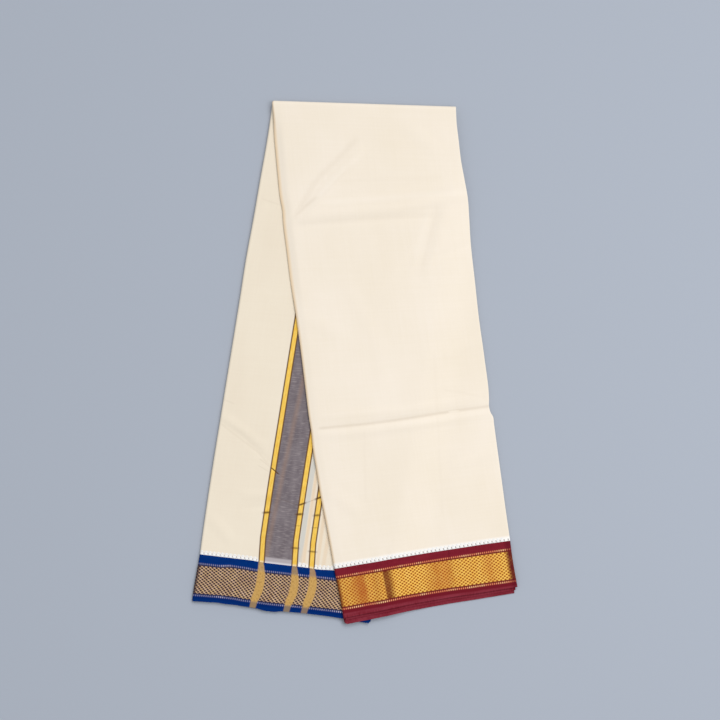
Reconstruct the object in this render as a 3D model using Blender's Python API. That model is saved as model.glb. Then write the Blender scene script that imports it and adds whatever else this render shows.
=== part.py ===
# Folded dhoti: an ivory cotton cloth with a maroon and gold border along one selvage and a
# blue and gold border along the other. It is folded lengthwise four times into a strip of
# sixteen plies, and the strip is folded once across, so its front half lies on its back half.
# Metres, +Z up. The cloth rests on z = 0, and the origin is under the middle of its box.

import math
from collections import namedtuple

import bmesh
import bpy
from mathutils import Vector

millimetre = 0.001

# Driving sizes
ply_count = 16
ply_pitch = 0.3 * millimetre
strip_depth = ply_count * ply_pitch
seam_gap = 0.3 * millimetre
wall_depth = 1.0 * millimetre
side_radius = strip_depth / 2
leaf_count = 2
groove_depth = 1.6 * millimetre
edge_bevel = 0.35 * millimetre

# How the front half comes down from the back half to the surface
slope_start = 10.0 * millimetre
slope_length = 55.0 * millimetre

# Mesh fineness
column_count = 18
longest_row_step = 18.0 * millimetre
side_steps = 5
fold_steps = 10

# Stepped plies at the maroon edge: eight upper plies, then four, then the last four
middle_plies_depth = 8 * ply_pitch
lower_plies_depth = 12 * ply_pitch
middle_plies_inset = 3.5 * millimetre
lower_plies_inset = 6.5 * millimetre
blue_plies_inset = 1.5 * millimetre

Row = namedtuple("Row", "left_x left_y right_x right_y")
Crease = namedtuple("Crease", "start_x start_y end_x end_y height half_width")
Corner = namedtuple("Corner", "fraction offset depth outer")
Station = namedtuple("Station", "place width creases")

# Rows across the cloth, in millimetres, from the top fold down each half
front_rows = (
    Row(-102.3, 320.0, 125.9, 313.2),
    Row(-98.2, 283.3, 128.9, 279.6),
    Row(-94.1, 239.7, 135.1, 242.2),
    Row(-89.4, 196.1, 140.4, 206.1),
    Row(-88.5, 186.2, 141.6, 196.8),
    Row(-86.8, 175.0, 142.2, 186.2),
    Row(-80.5, 125.2, 146.0, 137.6),
    Row(-72.6, 61.7, 152.8, 74.1),
    Row(-64.1, -3.1, 160.8, 11.9),
    Row(-55.3, -72.8, 167.1, -42.9),
    Row(-53.8, -84.0, 168.7, -53.9),
    Row(-52.2, -97.7, 173.1, -71.5),
    Row(-44.6, -146.2, 178.9, -111.4),
    Row(-34.5, -202.3, 186.1, -167.4),
    Row(-24.8, -256.4, 194.0, -222.2),
)

# Maroon border: below its seam, mid band, above its selvage, and where three sets of plies end
maroon_rows = (
    Row(-19.8, -281.4, 197.0, -244.6),
    Row(-16.8, -300.6, 200.4, -264.5),
    Row(-14.9, -313.7, 202.7, -278.0),
    Row(-13.7, -321.2, 203.6, -282.6),
    Row(-12.8, -324.8, 204.4, -286.3),
)

back_rows = (
    Row(-102.3, 320.0, 125.9, 313.2),
    Row(-114.0, 252.2, 114.2, 243.0),
    Row(-121.9, 202.4, 105.6, 191.5),
    Row(-133.6, 140.1, 94.9, 127.2),
    Row(-143.5, 77.9, 84.2, 62.8),
    Row(-154.1, 15.6, 73.5, -1.6),
    Row(-163.5, -46.6, 62.7, -65.9),
    Row(-174.2, -108.9, 51.9, -130.3),
    Row(-179.1, -142.9, 46.2, -164.8),
    Row(-180.8, -154.9, 44.2, -176.8),
    Row(-182.6, -167.1, 42.2, -188.8),
    Row(-193.0, -238.6, 29.6, -264.4),
)

blue_rows = (
    Row(-196.3, -257.7, 26.3, -284.2),
    Row(-199.7, -277.7, 22.8, -305.0),
    Row(-202.8, -296.7, 19.5, -324.6),
)

# Largest creases: ridges in the upper face, in millimetres, each along a line between two points
front_creases = (
    Crease(-92.0, 186.2, 146.0, 196.8, 1.5, 16.0),
    Crease(-57.0, -84.0, 172.0, -53.9, 1.3, 12.0),
    Crease(-8.0, 263.3, -84.0, 173.3, 0.7, 20.0),
    Crease(103.0, 204.3, 74.0, 97.3, 0.8, 20.0),
    Crease(-34.0, -158.7, 10.0, -188.7, 0.5, 22.0),
)
back_creases = (
    Crease(-170.0, -80.7, -108.0, -126.7, 0.9, 14.0),
    Crease(-142.0, -166.7, -62.0, -148.7, 1.0, 12.0),
    Crease(-140.0, 167.3, -108.0, 197.3, 0.7, 16.0),
    Crease(-183.0, -188.7, -150.0, -224.7, 0.6, 16.0),
)

ivory = (0.90, 0.82, 0.71)
maroon = (0.20, 0.015, 0.028)
blue = (0.004, 0.022, 0.15)


def metres(row):
    return Row(*(value * millimetre for value in row))


def smooth(value):
    value = min(max(value, 0.0), 1.0)
    return value * value * (3.0 - 2.0 * value)


def row_point(row, across):
    left = Vector((row.left_x, row.left_y, 0.0))
    right = Vector((row.right_x, row.right_y, 0.0))
    return left + (right - left).normalized() * across


def row_width(row):
    return math.hypot(row.right_x - row.left_x, row.right_y - row.left_y)


def row_beyond(row, next_row, distance):
    """The row that lies a small distance from one row towards the next."""
    share = distance / math.hypot(next_row.left_x - row.left_x, next_row.left_y - row.left_y)
    return Row(*(a + (b - a) * share for a, b in zip(row, next_row)))


def support_height(x, y):
    """Height of what the front half lies on: the back half, then a slope to the surface."""
    top = metres(back_rows[0])
    foot = metres(blue_rows[-1])
    along = Vector((foot.right_x - top.right_x, foot.right_y - top.right_y)).normalized()
    beyond = (x - top.right_x) * -along.y + (y - top.right_y) * along.x
    return (strip_depth + seam_gap) * (1.0 - smooth((beyond - slope_start) / slope_length))


def front_station(row, creases=()):
    def place(across, depth):
        point = row_point(row, across)
        point.z = support_height(point.x, point.y) + strip_depth - depth
        return point
    return Station(place, row_width(row), creases)


def back_station(row, creases=()):
    def place(across, depth):
        point = row_point(row, across)
        point.z = depth
        return point
    return Station(place, row_width(row), creases)


def fold_station(row, angle):
    axis_height = strip_depth + seam_gap / 2
    line = Vector((row.right_x - row.left_x, row.right_y - row.left_y, 0.0)).normalized()
    outward = Vector((-line.y, line.x, 0.0))

    def place(across, depth):
        radius = axis_height - depth
        point = row_point(row, across) + outward * radius * math.sin(angle)
        point.z = axis_height + radius * math.cos(angle)
        return point
    return Station(place, row_width(row), ())


def refined(table):
    """The rows of a table in metres, with more between them where they lie far apart."""
    rows = [metres(row) for row in table]
    result = [rows[0]]
    for row, following in zip(rows, rows[1:]):
        length = math.hypot(following.left_x - row.left_x, following.left_y - row.left_y)
        steps = math.ceil(length / longest_row_step)
        for step in range(1, steps + 1):
            share = step / steps
            result.append(Row(*(a + (b - a) * share for a, b in zip(row, following))))
    return result


def crease_lift(creases, point):
    """How far the creases raise the upper face at a point."""
    lift = 0.0
    for crease in creases:
        start = Vector((crease.start_x, crease.start_y)) * millimetre
        line = Vector((crease.end_x, crease.end_y)) * millimetre - start
        offset = Vector((point.x, point.y)) - start
        along = offset.dot(line) / line.length_squared
        aside = abs(offset.cross(line)) / line.length / (crease.half_width * millimetre)
        if 0.0 < along < 1.0 and aside < 1.0:
            fade = math.sqrt(math.sin(math.pi * along))
            lift += crease.height * millimetre * fade * (1.0 - smooth(aside))
    return lift


def side_arc(radius, start, end, outer):
    """Points of the rounded left side, by their angle from the lower face."""
    corners = []
    for step in range(side_steps + 1):
        angle = start + (end - start) * step / side_steps
        offset = side_radius - radius * math.sin(angle)
        depth = side_radius + radius * math.cos(angle)
        corners.append(Corner(0.0, offset, depth, outer))
    return corners


def across_points(depth, outer, reverse=False):
    corners = [Corner(i / column_count, 0.0, depth, outer) for i in range(1, column_count)]
    return corners[::-1] if reverse else corners


def right_nose(top, bottom, inset):
    """Rounded right edge of a leaf of plies, from its top depth to its bottom depth."""
    return [
        Corner(1.0, -inset - edge_bevel, top, False),
        Corner(1.0, -inset, top + edge_bevel, False),
        Corner(1.0, -inset, bottom - edge_bevel, False),
        Corner(1.0, -inset - edge_bevel, bottom, False),
    ]


def cover_profile():
    """Outer wall: round the left side to the top, across it, and back underneath."""
    seam = math.pi / 2
    inner = side_radius - wall_depth
    corners = side_arc(side_radius, seam, math.pi, True)
    corners += across_points(0.0, True)
    corners += right_nose(0.0, wall_depth, 0.0)
    corners += across_points(wall_depth, False, reverse=True)
    corners += side_arc(inner, math.pi, seam, False)
    return corners


def mirrored(profile):
    """The same wall on the other face of the strip, with a gap where the two walls meet."""
    corners = []
    for corner in profile:
        depth = strip_depth - corner.depth
        if corner.fraction == 0.0:
            depth = max(depth, side_radius + seam_gap)
        corners.append(corner._replace(depth=depth))
    return corners[::-1]


def layers_profile():
    """Inner plies: rounded at the left, and split into leaves at the right."""
    top = wall_depth + seam_gap
    bottom = strip_depth - top
    radius = side_radius - top
    corners = side_arc(radius, 0.0, math.pi, False)
    corners += across_points(top, False)
    leaf = (bottom - top) / leaf_count
    for index in range(leaf_count):
        leaf_top = top + leaf * index
        inset = edge_bevel * (index + 1)
        corners += right_nose(leaf_top, leaf_top + leaf, inset)
        if index < leaf_count - 1:
            corners.append(Corner(1.0, -inset - groove_depth, leaf_top + leaf, False))
    corners += across_points(bottom, False, reverse=True)
    return corners


def border_layers_profile():
    """Every ply of a border under its outer wall: a rounded left side with a step for that wall."""
    top = wall_depth + seam_gap
    middle = side_radius + seam_gap
    corners = [Corner(0.0, side_radius, strip_depth, False)]
    for step in range(1, side_steps + 1):
        angle = math.acos((middle - side_radius) / side_radius) * step / side_steps
        offset = side_radius - side_radius * math.sin(angle)
        corners.append(Corner(0.0, offset, side_radius + side_radius * math.cos(angle), False))
    radius = side_radius - top
    for step in range(side_steps + 1):
        angle = math.acos((middle - side_radius) / radius)
        angle += (math.pi - angle) * step / side_steps
        offset = side_radius - radius * math.sin(angle)
        corners.append(Corner(0.0, offset, side_radius + radius * math.cos(angle), False))
    corners += across_points(top, False)
    corners += right_nose(top, strip_depth, 0.0)
    corners += across_points(strip_depth, False, reverse=True)
    return corners


def flipped(profile):
    return [corner._replace(depth=strip_depth - corner.depth) for corner in profile][::-1]


def below(profile, depth, inset):
    """The part of a profile under a depth, moved in at the right, for plies that end later."""
    corners = []
    for corner in profile:
        offset = min(corner.offset, -inset) if corner.fraction == 1.0 else corner.offset
        corners.append(corner._replace(depth=max(corner.depth, depth), offset=offset))
    return corners


def section(station, profile):
    points = []
    for corner in profile:
        point = station.place(corner.fraction * station.width + corner.offset, corner.depth)
        if corner.outer and corner.fraction > 0.0:
            point.z += crease_lift(station.creases, point)
        points.append(point)
    return points


def loft(name, sections, color, collection):
    """A closed solid through sections that have the same number of points."""
    mesh = bmesh.new()
    rings = [[mesh.verts.new(point) for point in points] for points in sections]
    for ring, following in zip(rings, rings[1:]):
        for i in range(len(ring)):
            j = (i + 1) % len(ring)
            mesh.faces.new((ring[i], ring[j], following[j], following[i]))
    mesh.faces.new(rings[0])
    mesh.faces.new(rings[-1][::-1])
    bmesh.ops.remove_doubles(mesh, verts=mesh.verts, dist=0.00001)
    bmesh.ops.triangulate(mesh, faces=mesh.faces)
    bmesh.ops.recalc_face_normals(mesh, faces=mesh.faces)
    data = bpy.data.meshes.new(name)
    mesh.to_mesh(data)
    mesh.free()
    data.shade_smooth()
    data.set_sharp_from_angle(angle=math.radians(50))
    data.materials.append(cloth_material(name, color))
    piece = bpy.data.objects.new(name, data)
    collection.objects.link(piece)
    return piece


def cloth_material(name, color):
    material = bpy.data.materials.new(name)
    material.use_nodes = True
    shader = material.node_tree.nodes["Principled BSDF"]
    shader.inputs["Base Color"].default_value = (*color, 1.0)
    shader.inputs["Roughness"].default_value = 0.85
    shader.inputs["Metallic"].default_value = 0.0
    return material


def maroon_band(collection):
    rows = [metres(row) for row in maroon_rows]
    seam = row_beyond(metres(front_rows[-1]), rows[0], seam_gap)
    stations = [front_station(row) for row in [seam] + rows]
    cover = cover_profile()
    loft("maroon_border", [section(station, cover) for station in stations[:4]],
         maroon, collection)
    layers = border_layers_profile()
    middle = below(layers, middle_plies_depth, middle_plies_inset)
    lower = below(layers, lower_plies_depth, lower_plies_inset)
    sections = [section(station, layers) for station in stations[:4]]
    sections += [section(station, middle) for station in stations[3:5]]
    sections += [section(station, lower) for station in stations[4:]]
    loft("maroon_border_layers", sections, maroon, collection)


def blue_band(collection):
    rows = [metres(row) for row in blue_rows]
    seam = row_beyond(metres(back_rows[-1]), rows[0], seam_gap)
    end = row_beyond(rows[-1], rows[-2], blue_plies_inset)
    cover = mirrored(cover_profile())
    loft("blue_border", [section(back_station(row), cover) for row in [seam] + rows],
         blue, collection)
    layers = flipped(border_layers_profile())
    layer_rows = [seam] + rows[:-1] + [end]
    loft("blue_border_layers", [section(back_station(row), layers) for row in layer_rows],
         blue, collection)


def strip_stations(front_relief, back_relief):
    """Stations from the maroon seam up the front half, round the top fold, down to the blue seam."""
    stations = [front_station(row, front_relief) for row in reversed(refined(front_rows))]
    for step in range(1, fold_steps):
        stations.append(fold_station(metres(front_rows[0]), math.pi * step / fold_steps))
    stations += [back_station(row, back_relief) for row in refined(back_rows)]
    return stations


def ivory_strip(collection):
    cover = cover_profile()
    panel = mirrored(cover)
    layers = layers_profile()
    cover_sections = [section(place, cover) for place in strip_stations(front_creases, ())]
    panel_sections = [section(place, panel) for place in strip_stations((), back_creases)]
    layer_sections = [section(place, layers) for place in strip_stations((), ())]
    loft("front_cover", cover_sections, ivory, collection)
    loft("end_panel", panel_sections, ivory, collection)
    loft("hidden_layers", layer_sections, ivory, collection)


def main():
    for item in list(bpy.data.objects):
        bpy.data.objects.remove(item, do_unlink=True)
    collection = bpy.data.collections.new("folded_dhoti")
    bpy.context.scene.collection.children.link(collection)
    ivory_strip(collection)
    maroon_band(collection)
    blue_band(collection)
    print("folded dhoti:", len(collection.objects), "pieces")


main()
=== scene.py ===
import math
from bisect import bisect_right
from collections import namedtuple
from functools import lru_cache

import bmesh
import bpy
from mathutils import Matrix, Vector, noise


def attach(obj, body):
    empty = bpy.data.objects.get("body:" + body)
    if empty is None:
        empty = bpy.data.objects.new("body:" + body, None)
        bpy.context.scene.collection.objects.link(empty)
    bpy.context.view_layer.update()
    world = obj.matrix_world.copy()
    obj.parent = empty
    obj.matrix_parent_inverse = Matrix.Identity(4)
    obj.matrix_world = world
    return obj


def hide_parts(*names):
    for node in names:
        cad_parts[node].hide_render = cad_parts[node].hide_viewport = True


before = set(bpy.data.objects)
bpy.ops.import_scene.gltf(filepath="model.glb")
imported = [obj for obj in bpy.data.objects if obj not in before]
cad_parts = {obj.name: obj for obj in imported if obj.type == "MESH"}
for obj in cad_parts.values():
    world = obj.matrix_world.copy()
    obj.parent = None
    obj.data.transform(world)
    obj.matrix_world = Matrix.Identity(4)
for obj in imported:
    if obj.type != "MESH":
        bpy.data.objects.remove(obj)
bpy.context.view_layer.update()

mm = 0.001

# The camera looks straight down from where the photograph was taken
view = {
    "centre": (6.85 * mm, 3.2 * mm),
    "height": 2.2,  # metres
    "fieldWidth": 0.8964,  # width of surface seen, at the height of the cloth
    "clothHeight": 7 * mm,
}

# The folded strip: sixteen plies, folded once across at the top
strip = {
    "plyCount": 16,
    "upperFrom": 8, "middleFrom": 4,  # the lowest ply of the upper and of the middle set
    "pitch": 0.3 * mm,
    "gap": 0.3 * mm,  # between the two halves
    "coverThickness": 0.22 * mm,
    "innerThickness": 0.15 * mm,
    "edgeSqueeze": 0.9,  # how near the inner plies lie to their true depth at the edges
    "middleSqueeze": 0.7,  # and away from the edges
    "squeezeReach": 14 * mm,
    "innerInset": 0.4 * mm,
    "coverReturn": 6 * mm,  # how far the outermost ply turns back in at the right edge
    "freeEndInsets": {0: 0.5 * mm, 1: 2.0 * mm},  # of the two plies that end at the right edge
    "slopeStart": 10 * mm,  # where the front half leaves the back half and comes down
    "slopeLength": 55 * mm,
}
bottomPly = 0
topPly = strip["plyCount"] - 1
stripDepth = strip["plyCount"] * strip["pitch"]
sideRadius = stripDepth / 2
foldAxis = stripDepth + strip["gap"] / 2
supportRise = stripDepth + strip["gap"]

# Mesh fineness: fine where a ply shows, coarse where it is hidden
mesh = {
    "fineStep": 2.5 * mm,
    "coarseStep": 6 * mm,
    "innerStep": 8 * mm,
    "fineColumns": 90,
    "innerColumns": 8,
    "sideSteps": 6,
    "innerSideSteps": 3,
    "foldSteps": 14,
    "bandRows": 24,
    "innerBandRows": 6,
}

# Edges of both halves in millimetres (x, y), from the top fold to the end of the lowest ply
frontLeftPoints = (
    (-102.6, 321.5), (-100.0, 302.0), (-96.2, 264.6), (-93.0, 229.8), (-90.3, 204.9),
    (-87.5, 189.9), (-86.5, 175.0), (-82.2, 140.1), (-77.1, 97.8), (-72.2, 61.2), (-66.1, 15.6),
    (-60.0, -34.2), (-55.4, -71.5), (-53.2, -85.2), (-50.8, -108.9), (-46.7, -133.8),
    (-41.7, -164.9), (-34.4, -202.3), (-28.3, -235.4), (-24.8, -256.4),
)
maroonLeftPoints = ((-20.0, -281.4), (-16.6, -300.6), (-13.9, -317.4), (-12.8, -324.9))
frontRightPoints = (
    (126.2, 314.1), (126.9, 299.5), (129.5, 277.1), (132.6, 250.9), (137.0, 227.3),
    (141.2, 203.6), (142.9, 180.0), (144.5, 152.6), (149.9, 102.8), (155.4, 53.0), (162.0, 5.7),
    (167.7, -46.0), (167.7, -54.5), (169.9, -62.8), (172.8, -67.8), (173.8, -75.5),
    (176.6, -96.4), (183.4, -146.2), (190.2, -196.0), (194.0, -222.2),
)
maroonRightPoints = ((197.0, -244.6), (200.4, -264.5), (202.8, -277.7), (204.3, -285.5))
backLeftPoints = (
    (-102.6, 321.5), (-109.2, 277.1), (-118.0, 227.3), (-126.6, 177.5), (-135.8, 127.7),
    (-143.5, 77.9), (-151.6, 28.1), (-159.7, -21.7), (-167.7, -71.5), (-175.8, -121.3),
    (-183.4, -171.1), (-190.6, -220.9), (-193.0, -238.6),
)
blueLeftPoints = ((-196.6, -258.3), (-199.9, -277.0), (-202.8, -296.8))
backRightPoints = (
    (126.2, 314.1), (101.5, 167.5), (77.6, 21.8), (52.9, -123.8), (29.6, -264.4),
)
blueRightPoints = ((24.7, -295.0), (19.5, -324.6))

# Where the plies end below each seam, in millimetres at the left and right edge: the eight
# upper plies, the four under them, and the last four
maroonEnds = ((60.2, 57.4), (63.6, 61.0), (69.1, 64.8))
blueEnds = ((57.5, 59.5), (58.0, 60.0), (59.0, 61.0))
rightInsets = (0.0, 0.8, 1.2)  # of the same three sets, in millimetres
maroonRightInsets = (0.0, 2.5, 4.6)
insetGrowth = {"start": 90 * mm, "length": 150 * mm}
# How much shorter the blue edge is, in millimetres, at places across it: (from the left, by)
blueWave = (
    (0, 0.7), (18, 1.1), (28, 1.4), (42, 1.0), (65, 2.0), (78, 2.0), (92, 0.3), (104, 0.5),
    (113, 2.1), (145, 2.7), (172, 2.8), (225, 0.5),
)
# How far the cloth is pushed down its length near each border, in millimetres: (below the seam,
# ((from the left, by), ...))
frontSway = (
    (-70, ((0, 0.0), (225, 0.0))),
    (0, ((0, 0.0), (41, -0.4), (81, -1.1), (181, -0.9), (225, -0.3))),
    (50, ((0, 1.9), (41, 1.0), (87, -0.3), (134, -0.4), (165, 0.2), (225, 0.9))),
)
backSway = (
    (-50, ((0, 0.0), (225, 0.0))),
    (0, ((0, 0.3), (60, 0.4), (84, 1.5), (135, 1.5), (147, 2.1), (172, 0.8), (225, 0.8))),
    (10, ((0, 1.4), (26, 1.4), (42, -0.4), (57, 0.1), (73, 1.2), (150, 1.0), (225, 1.4))),
    (50, ((0, 1.3), (18, 0.7), (34, 0.0), (50, 0.1), (65, 1.1), (100, 1.7), (132, 1.0),
          (225, 1.2))),
)
lowestPlyShort = 3.5  # millimetres by which the lowest ply of the front half ends early
# At its left edge the front half is pressed thinner and its lower plies stand out. The shares
# are at places from the top fold
leftSpread = {
    "lowest": 3.2 * mm,
    "thinner": 0.42,
    "reach": 10 * mm,
    "shares": ((0, 0.0), (45, 1.0), (205, 1.0), (262, 0.45), (540, 0.3), (620, 0.0)),
}
endFlatten = {"start": 40 * mm, "length": 28 * mm, "amount": 0.15}

# Creases, in millimetres: a ridge or a trough along a line through points (x, y)
Crease = namedtuple("Crease", "points height halfWidth")
frontCreases = (
    Crease(((-80, 179), (0, 187), (60, 192), (146, 209)), 1.1, 10),
    Crease(((-78, 170), (20, 177), (110, 182)), -0.5, 7),
    Crease(((-60, 190), (40, 203), (144, 224)), 0.6, 13),
    Crease(((-50, -82.8), (10, -77.2), (50, -72.2), (95, -65.2), (131, -59.6), (172, -54.0)),
           -1.0, 4.6),
    Crease(((-56, -92), (0, -88), (90, -76), (174, -63)), 0.8, 8),
    Crease(((-50, -68), (60, -60), (160, -43)), 0.6, 9),
    Crease(((4, 278), (-35, 232), (-80, 178)), -0.8, 7),
    Crease(((12, 268), (-24, 226), (-66, 174)), 0.8, 9),
    Crease(((104, 192), (84, 150), (50, 101)), -0.5, 9),
    Crease(((103, 196), (92, 150), (75, 103)), -0.5, 10),
    Crease(((116, 200), (104, 150), (88, 100)), 0.5, 12),
    Crease(((-34, -159), (10, -189)), 0.5, 14),
    Crease(((150, 150), (96, 128)), -0.4, 9),
    Crease(((160, 30), (110, 6)), 0.45, 11),
    Crease(((178, -110), (120, -132)), 0.4, 10),
    Crease(((-70, 60), (-10, 30)), 0.35, 14),
    Crease(((60, 300), (110, 255)), 0.35, 14),
    Crease(((-20, 120), (30, 20), (36, -40)), 0.3, 16),
    Crease(((20, -236), (26, -310)), -0.45, 6),
    Crease(((40, -230), (46, -308)), -0.7, 5),
    Crease(((112, -222), (120, -300)), -0.5, 9),
    Crease(((30, -232), (34, -306)), 0.4, 7),
)
backCreases = (
    Crease(((-172, -70), (-140, -92), (-109, -121), (-92, -142)), -0.5, 5),
    Crease(((-176, -60), (-142, -82), (-108, -108)), 0.6, 9),
    Crease(((-142, -167), (-100, -164), (-62, -149)), 0.9, 10),
    Crease(((-150, -184), (-104, -178), (-62, -168), (-40, -160)), -0.5, 6),
    Crease(((-140, 167), (-108, 197)), 0.7, 12),
    Crease(((-183, -189), (-150, -225)), 0.6, 12),
    Crease(((-150, 60), (-110, 92)), 0.4, 12),
    Crease(((-130, 0), (-150, -60)), 0.3, 14),
    Crease(((-190, -262), (-150, -272)), 0.35, 9),
    Crease(((-118, -272), (-106, -312)), 0.45, 9),
)
# The slow waves of cloth that isn't ironed flat
unevenness = {
    "broad": 0.28 * mm, "broadScale": 13.0,  # height, and waves to the metre
    "fine": 0.10 * mm, "fineScale": 34.0,
    "seed": 3.7,
    "backShift": 5.0,  # so that the two halves differ
    "fade": 18 * mm,  # from the top fold
    "clearance": 8 * mm,  # on the back half, from the front half's edge
}


def smooth(value):
    value = min(max(value, 0.0), 1.0)
    return value * value * (3.0 - 2.0 * value)


# A smooth edge through its points, read by the distance along it
class SmoothEdge:
    def __init__(self, points):
        knots = [Vector((x, y, 0.0)) * mm for x, y in points]
        spans = [(b - a).length for a, b in zip(knots, knots[1:])]
        slopes = [(b - a) / span for a, b, span in zip(knots, knots[1:], spans)]
        tangents = [slopes[0]]
        for i in range(1, len(knots) - 1):
            share = spans[i - 1] / (spans[i - 1] + spans[i])
            tangents.append(slopes[i - 1].lerp(slopes[i], share))
        tangents.append(slopes[-1])
        self.places = [knots[0]]
        self.reaches = [0.0]
        self.knotReaches = [0.0]
        spanSteps = 10
        for i, span in enumerate(spans):
            for step in range(1, spanSteps + 1):
                t = step / spanSteps
                place = knots[i] * (2 * t**3 - 3 * t**2 + 1) + knots[i + 1] * (3 * t**2 - 2 * t**3)
                place += tangents[i] * span * (t**3 - 2 * t**2 + t)
                place += tangents[i + 1] * span * (t**3 - t**2)
                self.reaches.append(self.reaches[-1] + (place - self.places[-1]).length)
                self.places.append(place)
            self.knotReaches.append(self.reaches[-1])

    def at(self, distance):
        i = min(max(bisect_right(self.reaches, distance), 1), len(self.reaches) - 1)
        share = (distance - self.reaches[i - 1]) / (self.reaches[i] - self.reaches[i - 1])
        return self.places[i - 1] + (self.places[i] - self.places[i - 1]) * share


# One half of the strip: its rows run from the left edge to the right edge
class StripHalf:
    def __init__(self, leftPoints, leftEndPoints, rightPoints, rightEndPoints, ends):
        self.left = SmoothEdge(leftPoints + leftEndPoints)
        self.right = SmoothEdge(rightPoints + rightEndPoints)
        self.leftSeam = self.left.knotReaches[len(leftPoints) - 1]
        self.rightSeam = self.right.knotReaches[len(rightPoints) - 1]
        self.length = (self.leftSeam + self.rightSeam) / 2
        self.ends = ends

    @lru_cache(maxsize=4096)
    def row(self, distance):
        beyond = max(distance - self.length, 0.0)
        share = min(distance / self.length, 1.0)
        left = self.left.at(share * self.leftSeam + beyond)
        right = self.right.at(share * self.rightSeam + beyond)
        return left, (right - left).normalized(), (right - left).length


frontHalf = StripHalf(frontLeftPoints, maroonLeftPoints, frontRightPoints, maroonRightPoints,
                      maroonEnds)
backHalf = StripHalf(backLeftPoints, blueLeftPoints, backRightPoints, blueRightPoints, blueEnds)


# A table of (place, value) read at a place, with soft steps between its rows
def tableValue(table, place):
    for (startPlace, start), (endPlace, end) in zip(table, table[1:]):
        if place <= endPlace:
            return start + (end - start) * smooth((place - startPlace) / (endPlace - startPlace))
    return table[-1][1]


# How far the cloth is pushed down its length, in millimetres
def swayAt(sway, below, across):
    if below <= sway[0][0]:
        return 0.0
    for (start, startTable), (end, endTable) in zip(sway, sway[1:]):
        if below <= end:
            share = (below - start) / (end - start)
            first, second = tableValue(startTable, across), tableValue(endTable, across)
            return first + (second - first) * share
    return tableValue(sway[-1][1], across)


# What the front half lies on: the back half, or the surface beyond its right edge
def supportHeight(place):
    top = backHalf.right.at(0.0)
    foot = backHalf.right.at(backHalf.right.reaches[-1])
    along = (foot - top).normalized()
    beyond = (place.x - top.x) * -along.y + (place.y - top.y) * along.x
    return supportRise * (1.0 - smooth((beyond - strip["slopeStart"]) / strip["slopeLength"]))


# Height of one crease at a place, highest along its line and fading at its ends
def creaseAt(crease, place):
    points = [Vector(point) * mm for point in crease.points]
    total = sum((b - a).length for a, b in zip(points, points[1:]))
    here = place.xy
    nearest, along, passed = None, 0.0, 0.0
    for a, b in zip(points, points[1:]):
        line = b - a
        share = min(max((here - a).dot(line) / line.length_squared, 0.0), 1.0)
        aside = (here - a - line * share).length
        if nearest is None or aside < nearest:
            nearest, along = aside, passed + line.length * share
        passed += line.length
    aside = nearest / (crease.halfWidth * mm)
    if aside >= 1.0:
        return 0.0
    fade = math.sqrt(max(math.sin(math.pi * along / total), 0.0))
    return crease.height * mm * fade * (1 - smooth(aside))


def creaseBounds(crease):
    reach = crease.halfWidth
    across = [x for x, y in crease.points]
    upward = [y for x, y in crease.points]
    return ((min(across) - reach) * mm, (max(across) + reach) * mm,
            (min(upward) - reach) * mm, (max(upward) + reach) * mm)


creaseBoxes = {crease: creaseBounds(crease) for crease in frontCreases + backCreases}


def creaseHeight(creases, place):
    height = 0.0
    for crease in creases:
        left, right, bottom, top = creaseBoxes[crease]
        if left < place.x < right and bottom < place.y < top:
            height += creaseAt(crease, place)
    return height


def unevenHeight(place, shift):
    broad = Vector((place.x, place.y, 0.0)) * unevenness["broadScale"]
    fine = Vector((place.x, place.y, 0.0)) * unevenness["fineScale"]
    broad.z = fine.z = unevenness["seed"] + shift
    height = unevenness["broad"] * noise.noise(broad)
    return height + unevenness["fine"] * noise.noise(fine)


def frontRelief(place, distance):
    height = creaseHeight(frontCreases, place) + unevenHeight(place, 0.0)
    return height * smooth(distance / unevenness["fade"])


# The back half is uneven only where the front half doesn't lie on it
def backRelief(place, distance):
    share = (frontHalf.left.places[0].y - place.y) / (
        frontHalf.left.places[0].y - frontHalf.left.places[-1].y)
    edge = frontHalf.left.at(share * frontHalf.left.reaches[-1])
    clear = smooth((edge.x - place.x) / unevenness["clearance"])
    if clear == 0.0:
        return 0.0
    height = creaseHeight(backCreases, place) + unevenHeight(place, unevenness["backShift"])
    return height * clear * smooth(distance / unevenness["fade"])


# A corner of the strip's cross-section. fraction is of the row's width, level is its set of
# plies (0 upper, 1 middle, 2 lower), unrolled is its offset with the sides laid flat
Corner = namedtuple("Corner", "fraction offset depth level unrolled side")
Station = namedtuple("Station", "part value along")


def levelOf(ply):
    return 0.0 if ply >= strip["upperFrom"] else 1.0 if ply >= strip["middleFrom"] else 2.0


def depthOf(ply):
    return (strip["plyCount"] - ply - 0.5) * strip["pitch"]


def levelValue(values, level):
    low = min(int(level), len(values) - 2)
    return values[low] + (values[low + 1] - values[low]) * (level - low)


def rightInset(half, level, distance):
    inset = levelValue(rightInsets, level)
    if half is frontHalf:
        grown = smooth((distance - half.length + insetGrowth["start"]) / insetGrowth["length"])
        inset += (levelValue(maroonRightInsets, level) - inset) * grown
    return inset * mm


def acrossAt(half, corner, distance, width):
    return corner.fraction * (width - rightInset(half, corner.level, distance)) + corner.offset


# How far below the seam a ply ends
def endReach(half, corner, across, width):
    share = min(max(across / width, 0.0), 1.0)
    left, right = (levelValue([pair[i] for pair in half.ends], corner.level) for i in (0, 1))
    reach = left + (right - left) * share
    if half is backHalf:
        reach -= tableValue(blueWave, across / mm)
    elif corner.depth > depthOf(1):  # only the lowest ply
        reach -= lowestPlyShort
    return reach * mm


# How far a place is in the left edge's pressed strip, from 0 to 1
def pressedShare(distance, across):
    near = smooth(1.0 - across / leftSpread["reach"])
    return near * tableValue(leftSpread["shares"], distance / mm)


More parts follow.
